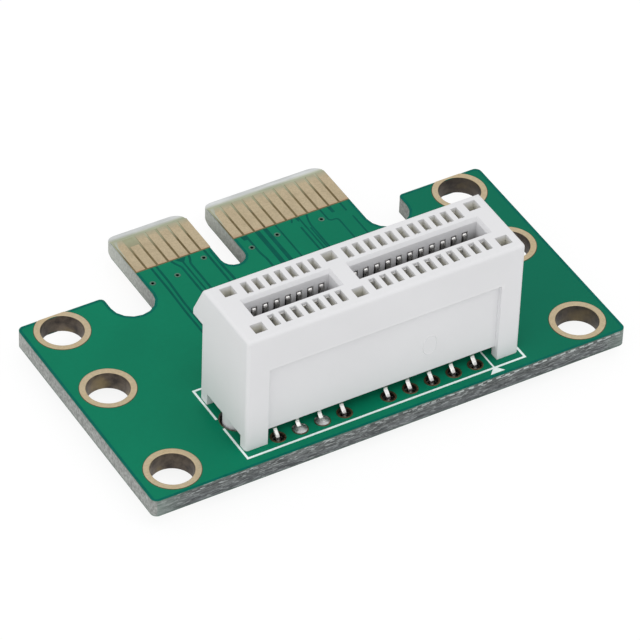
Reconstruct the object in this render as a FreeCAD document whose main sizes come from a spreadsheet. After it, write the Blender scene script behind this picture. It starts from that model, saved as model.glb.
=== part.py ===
import FreeCAD, Part
import math
import os

import Sketcher
from FreeCAD import Rotation, Vector

# Riser card: a small board with a bevelled edge that plugs into a slot, and the same slot again on
# top of it, with its 36 contacts soldered through the board.
# Frame: X along the slot towards pin 1, Y towards the edge fingers, Z up out of the board.
# The origin is the middle of the four corner fixing holes, on the board's underside.

SIZES = [
    # Board
    ("board_thick", 1.6),
    ("holes_wide", 37.0),
    ("holes_deep", 18.25),
    ("middle_row", 1.4),
    ("left_margin", 3.1),
    ("right_margin", 2.95),
    ("front_margin", 2.7),
    ("rear_margin", 1.95),
    ("corner_round", 0.55),
    ("tongue_out", 6.88),
    ("tongue_left_margin", 0.52),
    ("tongue_right_margin", 0.44),
    ("tongue_round", 0.95),
    ("bevel_long", 1.3),
    ("bevel_deep", 0.47),
    ("notch_width", 3.8),
    ("notch_past_rear", 3.25),
    ("notch_corner_round", 0.4),
    # Pins and edge fingers, the same layout in the slot and on the tongues
    ("key_middle", -2.0),
    ("key_notch_middle", -2.07),
    ("key_notch_half", 1.07),
    ("key_past_rear", 1.4),
    ("key_to_pin", 1.5),
    ("pin_pitch", 1.0),
    ("finger_half", 0.4),
    ("finger_front", 12.6),
    ("short_finger_cut", 1.1),
    ("copper_thick", 0.04),
    # Plated holes
    ("fixing_bore", 1.76),
    ("fixing_land", 2.29),
    ("fixing_clear", 0.01),
    ("pin_bore", 0.56),
    ("via_bore", 0.15),
    # Slot connector, measured from the slot's middle line and from the board's top
    ("slot_line", -6.475),
    ("housing_half", 3.65),
    ("housing_top", 11.25),
    ("end_past_last_pin", 3.1),
    ("end_past_first_pin", 2.8),
    ("edge_round", 0.3),
    ("foot_gap", 1.15),
    ("foot_long", 2.0),
    ("front_foot_deep", 0.82),
    ("rear_foot_deep", 1.13),
    ("recess_deep", 0.4),
    ("recess_top", 7.7),
    ("ridge_top", 3.4),
    ("ridge_reach", 4.95),
    ("ridge_nose", 8.2),
    ("ridge_low", 7.7),
    ("ridge_round", 0.8),
    ("slot_deep", 7.95),
    ("slot_clear", 0.1),
    ("slot_past_pin", 1.0),
    ("rib_half", 0.9),
    ("lead_in_wide", 0.2),
    ("lead_in_deep", 0.35),
    ("cavity_half", 0.275),
    ("window_top", 10.2),
    ("mouth_inner", 1.45),
    ("mouth_outer", 2.8),
    ("core_middle", 2.39),
    ("core_half", 0.525),
    ("core_deep", 3.0),
    ("core_past_pin", 1.5),
    ("peg_radius", 1.15),
    ("peg_clear", 0.25),
    ("peg_long", 1.3),
    ("peg_tip", 0.3),
    ("peg_from_key", 9.3),
    # Contacts, formed from strip, measured as the connector is
    ("strip_thick", 0.2),
    ("strip_wide", 0.36),
    ("outer_row", 3.33),
    ("inner_row", 1.33),
    ("tail_out", 1.1),
    ("tail_knee", 0.45),
    ("beam_root", 2.75),
    ("beam_root_top", 4.2),
    ("contact_reach", 0.56),
    ("contact_height", 8.5),
    ("neck", 0.98),
    ("neck_height", 9.78),
    ("tip_row", 1.6),
    ("hook_height", 10.08),
    ("tip_height", 11.1),
    # Solder
    ("fillet_radius", 0.64),
    ("fillet_slope", 26.0),
    ("fillet_long", 0.75),
    ("cone_slope", 27.0),
    ("cone_height", 0.9),
]

LONG_PINS = 11
SHORT_PINS = 7
CUT_FINGER_TOP = 17
CUT_FINGER_UNDER = 1
VIAS = [(-9.4, 10.8), (-7.15, 10.75), (-4.23, 11.65), (-0.17, 10.92), (2.45, 11.37), (6.62, 11.37)]
CONE_PINS = (14, 16)
PIN_SIDES = 12
SMALL_SIDES = 6
# Every other pin shares one row of holes: its first pin, and how many more there are towards -X.
PIN_ROWS = ((1, 6), (2, 5), (12, 4), (13, 3))

os.makedirs("parts", exist_ok=True)
doc = FreeCAD.newDocument("RiserCard")
sheet = doc.addObject("Spreadsheet::Sheet", "Sizes")


def fill_sheet():
    """One row for each driving dimension: its name, then its value under an alias."""
    for row, (name, value) in enumerate(SIZES, start=1):
        sheet.set("A%d" % row, name)
        sheet.set("B%d" % row, str(value))
        sheet.setAlias("B%d" % row, name)
    doc.recompute()


def size(name):
    """The sheet's value for a name, for finding edges and writing starting guesses."""
    return float(sheet.get(name))


def bound(text):
    """An expression in plain alias names, with each name pointed at the sheet."""
    words = text.replace("(", " ( ").replace(")", " ) ").split()
    names = {name for name, value in SIZES}
    return " ".join("Sizes." + word if word in names else word for word in words)


def pin_place(pin):
    """Expression for a pin's X, counted from the key: pins 1 to 11 right of it, 12 to 18 left."""
    if pin <= LONG_PINS:
        return "( key_middle + key_to_pin + %d * pin_pitch )" % (LONG_PINS - pin)
    return "( key_middle - key_to_pin - %d * pin_pitch )" % (pin - LONG_PINS - 1)


FIRST_PIN = pin_place(1)
LAST_PIN = pin_place(LONG_PINS + SHORT_PINS)
HOUSING_LEFT = "( %s - end_past_last_pin )" % LAST_PIN
HOUSING_RIGHT = "( %s + end_past_first_pin )" % FIRST_PIN
BOARD_LEFT = "( - holes_wide / 2 - left_margin )"
BOARD_RIGHT = "( holes_wide / 2 + right_margin )"
BOARD_FRONT = "( - holes_deep / 2 - front_margin )"
BOARD_REAR = "( holes_deep / 2 + rear_margin )"
TONGUE_TIP = "( %s + tongue_out )" % BOARD_REAR
TONGUE_LEFT = "( %s - tongue_left_margin )" % LAST_PIN
TONGUE_RIGHT = "( %s + tongue_right_margin )" % FIRST_PIN
SLOT_HALF = "( board_thick / 2 + slot_clear )"
CAVITY_OUTER = "( beam_root + strip_thick / 2 )"
END_PEG = "( key_middle - peg_from_key )"


def new_body(name):
    """An empty body whose name is the sub-part's."""
    body = doc.addObject("PartDesign::Body", name)
    body.Label = name
    body.AllowCompound = True
    return body


def origin_feature(body, role):
    """One of the body's own planes or axes, by its role."""
    return [feature for feature in body.Origin.OriginFeatures if feature.Role == role][0]


def new_sketch(body, role, name, offset="0"):
    """A sketch on one of the body's own planes, moved along its normal by an expression."""
    sketch = body.newObject("Sketcher::SketchObject", name)
    sketch.AttachmentSupport = [(origin_feature(body, role), "")]
    sketch.MapMode = "FlatFace"
    sketch.setExpression(".AttachmentOffset.Base.z", bound(offset))
    return sketch


def hold(sketch, kind, geometry, point, text):
    """Dimension of one point from the sketch's origin, bound to an expression."""
    index = sketch.addConstraint(Sketcher.Constraint(kind, -1, 1, geometry, point, 1.0))
    sketch.setExpression("Constraints[%d]" % index, bound(text))


def hold_point(sketch, geometry, point, across, along):
    """Both dimensions of one point from the sketch's origin."""
    hold(sketch, "DistanceX", geometry, point, across)
    hold(sketch, "DistanceY", geometry, point, along)


def hold_radius(sketch, geometry, text):
    """Radius of one arc or circle, bound to an expression."""
    index = sketch.addConstraint(Sketcher.Constraint("Radius", geometry, 1.0))
    sketch.setExpression("Constraints[%d]" % index, bound(text))


def draw_outline(sketch, corners):
    """Closed outline through corners, each a pair of expressions. It starts as a ring."""
    count = len(corners)
    start = sketch.GeometryCount
    turn = 2 * math.pi / count
    ring = [Vector(math.cos(turn * step), math.sin(turn * step), 0) for step in range(count)]
    for step in range(count):
        sketch.addGeometry(Part.LineSegment(ring[step], ring[(step + 1) % count]), False)
    for step in range(count):
        following = start + (step + 1) % count
        sketch.addConstraint(Sketcher.Constraint("Coincident", start + step, 2, following, 1))
    for step, (across, along) in enumerate(corners):
        hold_point(sketch, start + step, 1, across, along)


def draw_rectangle(sketch, left, right, low, high):
    """Closed rectangle between four expressions."""
    draw_outline(sketch, [(left, low), (right, low), (right, high), (left, high)])


def draw_circle(sketch, across, along, radius):
    """Full circle with its middle and radius bound to expressions."""
    circle = sketch.addGeometry(Part.Circle(Vector(0, 0, 0), Vector(0, 0, 1), 1.0), False)
    hold_point(sketch, circle, 3, across, along)
    hold_radius(sketch, circle, radius)


def draw_polygon(sketch, across, along, radius, sides):
    """Regular polygon about a point. It stands for a small circle where many of them repeat."""
    corners = []
    for step in range(sides):
        turn = 2 * math.pi * (step + 0.5) / sides
        x = "%s + ( %.6f ) * %s" % (across, math.cos(turn), radius)
        corners.append((x, "%s + ( %.6f ) * %s" % (along, math.sin(turn), radius)))
    draw_outline(sketch, corners)


def draw_notch(sketch, middle, width, bottom, top):
    """U-shaped outline open upwards: a half circle at the bottom between two straight sides."""
    radius = "%s / 2" % width
    centre_line = "( %s + %s )" % (bottom, radius)
    left = "%s - %s" % (middle, radius)
    right = "%s + %s" % (middle, radius)
    circle = Part.Circle(Vector(0, 0, 0), Vector(0, 0, 1), 1.0)
    arc = sketch.addGeometry(Part.ArcOfCircle(circle, math.pi, 2 * math.pi), False)
    ends = [Vector(1, 0, 0), Vector(1, 2, 0), Vector(-1, 2, 0), Vector(-1, 0, 0)]
    sides = []
    for begin, end in zip(ends, ends[1:]):
        sides.append(sketch.addGeometry(Part.LineSegment(begin, end), False))
    for first, second in ((arc, sides[0]), (sides[0], sides[1]), (sides[1], sides[2]), (sides[2], arc)):
        sketch.addConstraint(Sketcher.Constraint("Coincident", first, 2, second, 1))
    for end in (1, 2):
        sketch.addConstraint(Sketcher.Constraint("Horizontal", arc, 3, arc, end))
    hold_point(sketch, arc, 3, middle, centre_line)
    hold_radius(sketch, arc, radius)
    hold_point(sketch, sides[1], 1, right, top)
    hold_point(sketch, sides[1], 2, left, top)


def extrude(body, kind, sketch, name, length, direction="up"):
    """Pad or pocket of a sketch: up or down its normal, or half each way."""
    feature = body.newObject("PartDesign::" + kind, name)
    feature.Profile = sketch
    if direction == "both":
        feature.SideType = "Symmetric"
    else:
        feature.Reversed = (direction == "up") == (kind == "Pocket")
    feature.setExpression("Length", bound(length))
    sketch.Visibility = False
    doc.recompute()
    return feature


def edges_where(feature, test):
    """Names of the feature's edges that pass a test on their middle point and direction."""
    names = []
    for number, edge in enumerate(feature.Shape.Edges, start=1):
        first, last = edge.Vertexes[0].Point, edge.Vertexes[-1].Point
        span = last - first
        straight = span.Length > 0.001 and abs(span.Length - edge.Length) < 0.0001
        if straight and test((first + last) * 0.5, span.normalize()):
            names.append("Edge%d" % number)
    return names


def near(first, second):
    """True when two lengths agree within a hundredth of a millimetre."""
    return abs(first - second) < 0.01


def round_edges(body, base, name, test, radius):
    """Fillet on the edges of a feature that pass the test."""
    fillet = body.newObject("PartDesign::Fillet", name)
    fillet.Base = (base, edges_where(base, test))
    fillet.setExpression("Radius", bound(radius))
    doc.recompute()
    return fillet


def repeat(body, features, name, count, reach):
    """Row of copies of some features towards -X, evenly spaced over a reach."""
    pattern = body.newObject("PartDesign::LinearPattern", name)
    pattern.Originals = features
    pattern.Direction = (origin_feature(body, "X_Axis"), [""])
    pattern.Reversed = True
    pattern.Occurrences = count
    pattern.setExpression("Length", bound(reach))
    body.Tip = pattern
    doc.recompute()
    return pattern


def place(body, across="0", along="0", up="0", turn=0.0):
    """Placement of a body, bound to expressions."""
    body.Placement.Rotation = Rotation(Vector(0, 0, 1), turn)
    body.setExpression(".Placement.Base.x", bound(across))
    body.setExpression(".Placement.Base.y", bound(along))
    body.setExpression(".Placement.Base.z", bound(up))


def tail_row(side, pin):
    """Expression for a tail's distance from the slot line: even pins of side a are outermost."""
    outermost = (pin % 2 == 0) == (side == "a")
    return "outer_row" if outermost else "inner_row"


def row_holes(first):
    """Place of the two holes of one pin as expressions. Side a is in front of the slot line."""
    holes = []
    for side, sign in (("a", "-"), ("b", "+")):
        holes.append((pin_place(first), "( slot_line %s %s )" % (sign, tail_row(side, first))))
    return holes


def fixing_holes():
    """Name and place of each fixing hole."""
    rows = (("front", "- holes_deep / 2"), ("middle", "middle_row"), ("rear", "holes_deep / 2"))
    holes = []
    for side, across in (("left", "- holes_wide / 2"), ("right", "holes_wide / 2")):
        for row, along in rows:
            holes.append(("fixing_hole_%s_%s" % (side, row), across, along))
    return holes


def make_board():
    """Board: a slab with two tongues, three notches, its holes, and a bevel on both faces."""
    body = new_body("circuit_board")
    slab = new_sketch(body, "XY_Plane", "board_slab")
    draw_rectangle(slab, BOARD_LEFT, BOARD_RIGHT, BOARD_FRONT, BOARD_REAR)
    extrude(body, "Pad", slab, "slab", "board_thick")
    tongue = new_sketch(body, "XY_Plane", "board_tongue")
    draw_rectangle(tongue, TONGUE_LEFT, TONGUE_RIGHT, BOARD_FRONT, TONGUE_TIP)
    extrude(body, "Pad", tongue, "tongue", "board_thick")
    notches = new_sketch(body, "XY_Plane", "board_notches")
    notch_bottom = "( %s - notch_past_rear )" % BOARD_REAR
    beyond = "( %s + tongue_out )" % TONGUE_TIP
    draw_notch(notches, "( %s - notch_width / 2 )" % TONGUE_LEFT, "notch_width", notch_bottom, beyond)
    draw_notch(notches, "( %s + notch_width / 2 )" % TONGUE_RIGHT, "notch_width", notch_bottom, beyond)
    key_bottom = "( %s - key_past_rear )" % BOARD_REAR
    draw_notch(notches, "key_notch_middle", "( 2 * key_notch_half )", key_bottom, beyond)
    cut = extrude(body, "Pocket", notches, "notches", "board_thick", "up")
    half_wide = size("holes_wide") / 2
    rear = size("holes_deep") / 2 + size("rear_margin")

    def upright(point, direction):
        return near(abs(direction.z), 1)

    def outer_corner(point, direction):
        wide = near(point.x, -half_wide - size("left_margin")) or near(point.x, half_wide + size("right_margin"))
        return upright(point, direction) and wide

    def notch_corner(point, direction):
        return upright(point, direction) and near(point.y, rear) and not outer_corner(point, direction)

    def tongue_corner(point, direction):
        return upright(point, direction) and near(point.y, rear + size("tongue_out"))

    rounded = round_edges(body, cut, "corner_rounds", outer_corner, "corner_round")
    rounded = round_edges(body, rounded, "notch_rounds", notch_corner, "notch_corner_round")
    round_edges(body, rounded, "tongue_rounds", tongue_corner, "tongue_round")
    bevel = new_sketch(body, "YZ_Plane", "board_bevel")
    start = "( %s - bevel_long )" % TONGUE_TIP
    upper = "( board_thick - bevel_deep )"
    for face, lip, away in (("board_thick", upper, "2 * board_thick"), ("0", "bevel_deep", "- board_thick")):
        draw_outline(bevel, [(start, face), (TONGUE_TIP, lip), (beyond, lip), (beyond, away), (start, away)])
    extrude(body, "Pocket", bevel, "bevels", "2 * holes_wide", "both")
    holes = new_sketch(body, "XY_Plane", "board_holes")
    for name, across, along in fixing_holes():
        draw_circle(holes, across, along, "fixing_land + fixing_clear")
    for across in ("key_middle", END_PEG):
        draw_circle(holes, across, "slot_line", "peg_radius + peg_clear")
    for across, along in VIAS:
        draw_polygon(holes, str(across), str(along), "via_bore", SMALL_SIDES)
    extrude(body, "Pocket", holes, "holes", "board_thick", "up")
    for first, count in PIN_ROWS:
        pair = new_sketch(body, "XY_Plane", "pin_%02d_holes" % first)
        for across, along in row_holes(first):
            draw_polygon(pair, across, along, "pin_bore", PIN_SIDES)
        cut = extrude(body, "Pocket", pair, "pin_%02d_bores" % first, "board_thick", "up")
        repeat(body, [cut], "pin_%02d_row" % first, count, "%d * pin_pitch" % (2 * count - 2))
    return body


def make_fixing_hole(name, across, along):
    """Plated fixing hole: a copper ring through the board, a little proud of both faces. The
    board's rear edge cuts the rear ones."""
    body = new_body(name)
    ring = new_sketch(body, "XY_Plane", name + "_ring", "- copper_thick")
    draw_circle(ring, "0", "0", "fixing_land")
    draw_circle(ring, "0", "0", "fixing_bore")
    extrude(body, "Pad", ring, name + "_barrel", "board_thick + 2 * copper_thick")
    if name.endswith("rear"):
        trim = new_sketch(body, "XY_Plane", name + "_trim", "- copper_thick")
        draw_rectangle(trim, "- 2 * fixing_land", "2 * fixing_land", "rear_margin", "2 * fixing_land")
        extrude(body, "Pocket", trim, name + "_edge", "board_thick + 2 * copper_thick", "up")
    place(body, across, along)
    return body


def make_fingers(name, pins, cut_pin, underside):
    """Edge fingers of one tongue on one face. One of them stops short of the bevel."""
    body = new_body(name)
    pads = new_sketch(body, "XY_Plane", name + "_pads", "0" if underside else "board_thick")
    for pin in pins:
        left = "%s - finger_half" % pin_place(pin)
        right = "%s + finger_half" % pin_place(pin)
        end = "( %s - bevel_long )" % TONGUE_TIP
        if pin == cut_pin:
            end = "( %s - short_finger_cut )" % end
        draw_rectangle(pads, left, right, "finger_front", end)
    extrude(body, "Pad", pads, name + "_plate", "copper_thick", "down" if underside else "up")
    return body


def make_housing():
    """Slot connector housing, one moulding, in a frame on the slot line at the board's top."""
    body = new_body("connector_housing")
    section = new_sketch(body, "YZ_Plane", "housing_section", HOUSING_LEFT)
    corners = [("- housing_half", "0"), ("housing_half", "0"), ("housing_half", "ridge_low")]
    corners += [("ridge_reach", "ridge_low"), ("ridge_reach", "ridge_nose"), ("ridge_top", "housing_top")]
    corners += [("- housing_half", "housing_top")]
    draw_outline(section, corners)
    block = extrude(body, "Pad", section, "housing_block", "%s - %s" % (HOUSING_RIGHT, HOUSING_LEFT))
    top = size("housing_top")
    half = size("housing_half")
    reach = size("ridge_reach")

    def ridge_edge(point, direction):
        return near(abs(direction.x), 1) and near(point.y, reach) and near(point.z, size("ridge_nose"))

    def outer_edge(point, direction):
        front_or_rear = near(abs(direction.x), 1) and near(point.z, top)
        across = not near(abs(direction.x), 1) and (near(point.z, top) or near(abs(point.y), half))
        return front_or_rear or (across and not near(point.z, 0))

    nosed = round_edges(body, block, "ridge_nose_round", ridge_edge, "ridge_round")
    round_edges(body, nosed, "edge_rounds", outer_edge, "edge_round")
    cut_underside(body)
    cut_slot(body)
    cut_cavities(body)
    cut_cores(body)
    add_pegs(body)
    place(body, "0", "slot_line", "board_thick")
    return body


def cut_underside(body):
    """Gap under the housing that leaves four corner feet, and a shallow recess on both long sides."""
    inner_left = "( %s + foot_long )" % HOUSING_LEFT
    inner_right = "( %s - foot_long )" % HOUSING_RIGHT
    gap = new_sketch(body, "XY_Plane", "housing_gap_along")
    draw_rectangle(gap, inner_left, inner_right, "- 2 * housing_half", "2 * housing_half")
    extrude(body, "Pocket", gap, "gap_along", "foot_gap", "up")
    across = new_sketch(body, "XY_Plane", "housing_gap_across")
    front, back = "- ( housing_half - front_foot_deep )", "( housing_half - rear_foot_deep )"
    draw_rectangle(across, "2 * %s" % HOUSING_LEFT, "2 * %s" % HOUSING_RIGHT, front, back)
    extrude(body, "Pocket", across, "gap_across", "foot_gap", "up")
    recess = new_sketch(body, "XY_Plane", "housing_recess")
    depth = "( housing_half - recess_deep )"
    draw_rectangle(recess, inner_left, inner_right, "- 2 * housing_half", "- " + depth)
    draw_rectangle(recess, inner_left, inner_right, depth, "housing_half")
    extrude(body, "Pocket", recess, "recesses", "recess_top", "up")


def cut_slot(body):
    """Two card compartments either side of the key rib, with a lead-in all round their mouths."""
    ends = [("( %s - slot_past_pin )" % LAST_PIN, "( key_middle - rib_half )")]
    ends += [("( key_middle + rib_half )", "( %s + slot_past_pin )" % FIRST_PIN)]
    mouth = new_sketch(body, "XY_Plane", "housing_slot", "housing_top")
    for left, right in ends:
        draw_rectangle(mouth, left, right, "- " + SLOT_HALF, SLOT_HALF)
    slot = extrude(body, "Pocket", mouth, "card_slot", "slot_deep", "down")
    top = size("housing_top")
    limit = size("board_thick")

    def mouth_edge(point, direction):
        inside = abs(point.y) < limit and near(point.z, top)
        ends_in = near(abs(direction.y), 1) and abs(point.x) < abs(size("key_middle")) + 9
        return inside and (near(abs(direction.x), 1) or ends_in)

    lead_in = body.newObject("PartDesign::Chamfer", "slot_lead_in")
    lead_in.Base = (slot, edges_where(slot, mouth_edge))
    lead_in.ChamferType = "Two distances"
    lead_in.setExpression("Size", bound("lead_in_wide"))
    lead_in.setExpression("Size2", bound("lead_in_deep"))
    doc.recompute()


def cut_cavities(body):
    """Contact cavities: each opens below, into the slot through a window, and at the top."""
    reach_in = "( %s - slot_clear )" % SLOT_HALF
    for label, pins in (("long", LONG_PINS), ("short", SHORT_PINS)):
        first = 1 if label == "long" else LONG_PINS + 1
        left = "( %s - cavity_half )" % pin_place(first)
        right = "( %s + cavity_half )" % pin_place(first)
        well = new_sketch(body, "XY_Plane", label + "_well")
        mouth = new_sketch(body, "XY_Plane", label + "_mouth", "housing_top")
        draw_rectangle(well, left, right, reach_in, CAVITY_OUTER)
        draw_rectangle(well, left, right, "- " + CAVITY_OUTER, "- " + reach_in)
        draw_rectangle(mouth, left, right, "mouth_inner", "mouth_outer")
        draw_rectangle(mouth, left, right, "- mouth_outer", "- mouth_inner")
        wells = extrude(body, "Pocket", well, label + "_wells", "window_top", "up")
        depth = "housing_top - window_top + strip_thick"
        mouths = extrude(body, "Pocket", mouth, label + "_mouths", depth, "down")
        repeat(body, [wells, mouths], label + "_row", pins, "%d * pin_pitch" % (pins - 1))


def cut_cores(body):
    """Six square core-outs at the ends and beside the key rib."""
    cores = new_sketch(body, "XY_Plane", "housing_cores", "housing_top")
    middles = ("( %s - core_past_pin )" % LAST_PIN, "key_middle", "( %s + core_past_pin )" % FIRST_PIN)
    for across in middles:
        for sign in ("-", ""):
            along = "( %s core_middle )" % sign
            left, right = across + " - core_half", across + " + core_half"
            draw_rectangle(cores, left, right, along + " - core_half", along + " + core_half")
    extrude(body, "Pocket", cores, "cores", "core_deep", "down")


def add_pegs(body):
    """Two round locating pegs with tapered tips, on the slot line under the key and the far end."""
    pegs = new_sketch(body, "XY_Plane", "housing_pegs", "foot_gap")
    tips = new_sketch(body, "XY_Plane", "housing_peg_tips", "- peg_long")
    for across in ("key_middle", END_PEG):
        draw_circle(pegs, across, "0", "peg_radius")
        draw_circle(tips, across, "0", "peg_radius")
    extrude(body, "Pad", pegs, "pegs", "foot_gap + peg_long", "down")
    tapered = extrude(body, "Pad", tips, "peg_tips", "peg_tip", "down")
    tapered.TaperAngle = -45
    doc.recompute()


def contact_corners(row):
    """Side view of a contact, up its slot side and down its outer side."""
    half = "strip_thick / 2"
    low = "- board_thick - tail_out"
    bend = "tail_knee" if row == "outer_row" else "foot_gap"
    up = [(row, low), (row, "0"), ("beam_root", bend), ("beam_root", "beam_root_top")]
    corners = [("%s - %s" % (across, half), height) for across, height in up]
    corners += [("contact_reach", "contact_height"), ("neck - " + half, "neck_height + " + half)]
    corners += [("tip_row - " + half, "hook_height + " + half), ("tip_row - " + half, "tip_height")]
    corners += [("tip_row + " + half, "tip_height"), ("tip_row + " + half, "hook_height - " + half)]
    corners += [("neck + " + half, "neck_height - " + half)]
    corners += [("contact_reach + strip_thick", "contact_height")]
    corners += [("%s + %s" % (across, half), height) for across, height in reversed(up)]
    return corners


def make_contact(side, pin):
    """Contact: strip formed into a tail, a root, a sprung beam and a hooked tip. Side a is turned."""
    body = new_body("contact_%s%02d" % (side, pin))
    view = new_sketch(body, "YZ_Plane", body.Name + "_view")
    draw_outline(view, contact_corners(tail_row(side, pin)))
    extrude(body, "Pad", view, body.Name + "_strip", "strip_wide", "both")
    place(body, pin_place(pin), "slot_line", "board_thick", 180.0 if side == "a" else 0.0)
    return body


def solder_feet(body, name, holes, level):
    """Sketch of the six-sided feet of solder round some tails, on one face of the board."""
    feet = new_sketch(body, "XY_Plane", name + "_feet", level)
    for across, along in holes:
        draw_polygon(feet, across, along, "fillet_radius", SMALL_SIDES)
    return feet


def lean_flanks(body, slope):
    """Draft of the outer upright faces of the whole body from the board's underside. The walls of
    the slits are narrower than any flank, so their area tells them apart."""
    upright, flanks = body.Tip, []
    smallest = 0.9 * size("fillet_radius") * size("fillet_long")
    for number, face in enumerate(upright.Shape.Faces, start=1):
        if abs(face.normalAt(0, 0).z) < 0.5 and face.Area > smallest:
            flanks.append("Face%d" % number)
    draft = body.newObject("PartDesign::Draft", body.Name + "_flanks")
    draft.Base = (upright, flanks)
    draft.NeutralPlane = (origin_feature(body, "XY_Plane"), [""])
    draft.Reversed = True
    draft.setExpression("Angle", bound(slope))
    doc.recompute()


def make_solder_fillets():
    """Solder under the board, cut for the straight end of each tail."""
    body = new_body("solder_fillets")
    for first, count in PIN_ROWS:
        name = "fillet_%02d" % first
        feet = solder_feet(body, name, row_holes(first), "0")
        cones = extrude(body, "Pad", feet, name, "fillet_long", "down")
        slits = new_sketch(body, "XY_Plane", name + "_tails")
        for across, along in row_holes(first):
            left, right = across + " - strip_wide / 2", across + " + strip_wide / 2"
            draw_rectangle(slits, left, right, along + " - strip_thick / 2", along + " + strip_thick / 2")
        cut = extrude(body, "Pocket", slits, name + "_slits", "fillet_long", "down")
        repeat(body, [cones, cut], name + "_row", count, "%d * pin_pitch" % (2 * count - 2))
    lean_flanks(body, "fillet_slope")
    return body


def make_solder_cones():
    """Solder that rose through the board at two front tails, cut along the slant of the tail."""
    body = new_body("solder_cones")
    first = min(CONE_PINS)
    feet = solder_feet(body, "cone", row_holes(first)[:1], "board_thick")
    cones = extrude(body, "Pad", feet, "cone", "cone_height", "up")
    cones.setExpression("TaperAngle", bound("- cone_slope"))
    doc.recompute()
    slant = new_sketch(body, "YZ_Plane", "cone_tail", pin_place(first))
    foot, bend, half = "slot_line - outer_row", "slot_line - beam_root", "strip_thick / 2"
    high = "( board_thick + tail_knee )"
    corners = [("%s - %s" % (foot, half), "board_thick"), ("%s + %s" % (foot, half), "board_thick")]
    corners += [("%s + %s" % (bend, half), high), ("%s - %s" % (bend, half), high)]
    draw_outline(slant, corners)
    cut = extrude(body, "Pocket", slant, "cone_slit", "strip_wide", "both")
    repeat(body, [cones, cut], "cone_row", len(CONE_PINS), "2 * pin_pitch")
    return body


def check_and_write(bodies):
    """Stops on any failed object or bad shape, then writes each sub-part to its own file."""
    doc.recompute()
    failed = [item.Label for item in doc.Objects if "Invalid" in item.State or "Error" in item.State]
    if failed:
        raise RuntimeError("failed objects: " + ", ".join(failed))
    for body in bodies:
        if body.Shape.isNull() or not body.Shape.isValid():
            raise RuntimeError("bad shape: " + body.Label)
    for body in bodies:
        body.Shape.exportStep("parts/%s.step" % body.Label)
        print("%-26s solids %3d  volume %9.3f mm3" % (body.Label, len(body.Shape.Solids), body.Shape.Volume))


fill_sheet()
parts = [make_board(), make_housing()]
parts += [make_fixing_hole(*hole) for hole in fixing_holes()]
long_pins = range(1, LONG_PINS + 1)
short_pins = range(LONG_PINS + 1, LONG_PINS + SHORT_PINS + 1)
parts += [make_fingers("long_fingers_top", long_pins, CUT_FINGER_TOP, False)]
parts += [make_fingers("short_fingers_top", short_pins, CUT_FINGER_TOP, False)]
parts += [make_fingers("long_fingers_under", long_pins, CUT_FINGER_UNDER, True)]
parts += [make_fingers("short_fingers_under", short_pins, CUT_FINGER_UNDER, True)]
for side in ("a", "b"):
    parts += [make_contact(side, pin) for pin in list(long_pins) + list(short_pins)]
parts += [make_solder_fillets(), make_solder_cones()]
check_and_write(parts)
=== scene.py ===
import math

import bpy
import numpy as np
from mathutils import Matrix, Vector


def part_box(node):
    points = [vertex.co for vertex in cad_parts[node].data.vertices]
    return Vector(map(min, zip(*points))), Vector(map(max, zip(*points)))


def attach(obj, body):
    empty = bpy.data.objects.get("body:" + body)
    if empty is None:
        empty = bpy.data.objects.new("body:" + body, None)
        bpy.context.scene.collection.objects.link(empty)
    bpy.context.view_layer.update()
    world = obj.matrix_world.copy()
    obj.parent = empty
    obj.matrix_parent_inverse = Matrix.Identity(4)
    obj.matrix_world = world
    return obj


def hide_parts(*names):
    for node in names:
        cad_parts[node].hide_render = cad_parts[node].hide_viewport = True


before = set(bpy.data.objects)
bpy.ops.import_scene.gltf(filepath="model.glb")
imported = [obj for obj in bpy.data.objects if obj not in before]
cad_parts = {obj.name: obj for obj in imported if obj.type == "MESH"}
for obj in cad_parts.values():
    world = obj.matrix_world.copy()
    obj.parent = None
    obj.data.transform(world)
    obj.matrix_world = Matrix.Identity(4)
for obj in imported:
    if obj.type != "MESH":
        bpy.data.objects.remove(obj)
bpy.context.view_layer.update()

bl_info = {
    "name": "Riser card dressing",
    "version": (1, 0, 0),
    "blender": (4, 5, 0),
    "location": "View3D > Sidebar > Riser card",
    "description": "Copper, solder, contacts, print and finishes for a small riser board",
    "category": "Object",
}

# Lengths are in millimetres in the part's frame until a mesh is made, and metres in the mesh.
MM = 0.001
BOARD_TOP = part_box("circuit_board")[1][2] / MM

# Layout of the pins
SLOT_LINE = -6.475
KEY_MIDDLE = -2.0
KEY_TO_PIN = 1.5
PINS = 18
PINS_RIGHT_OF_KEY = 11
OUTER_ROW = 3.33
INNER_ROW = 1.33
CONE_PINS = (14, 16)

# Side view of a contact, as (distance from the slot line, height above the board)
TAIL_END = -2.7
TAIL_TOP = -0.02
KNEES = {OUTER_ROW: 0.45, INNER_ROW: 1.15}
BEAM_OUT = 2.75
BEAM_FOOT = 4.2
BULGE, NECK, SHOULDER, TIP = (0.66, 8.5), (0.92, 9.93), (1.6, 10.09), (1.6, 11.1)
BENDS = (0.22, 0.2, 0.8, 0.5, 0.16, 0.14)
STRIP_CUT = 0.05

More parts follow.
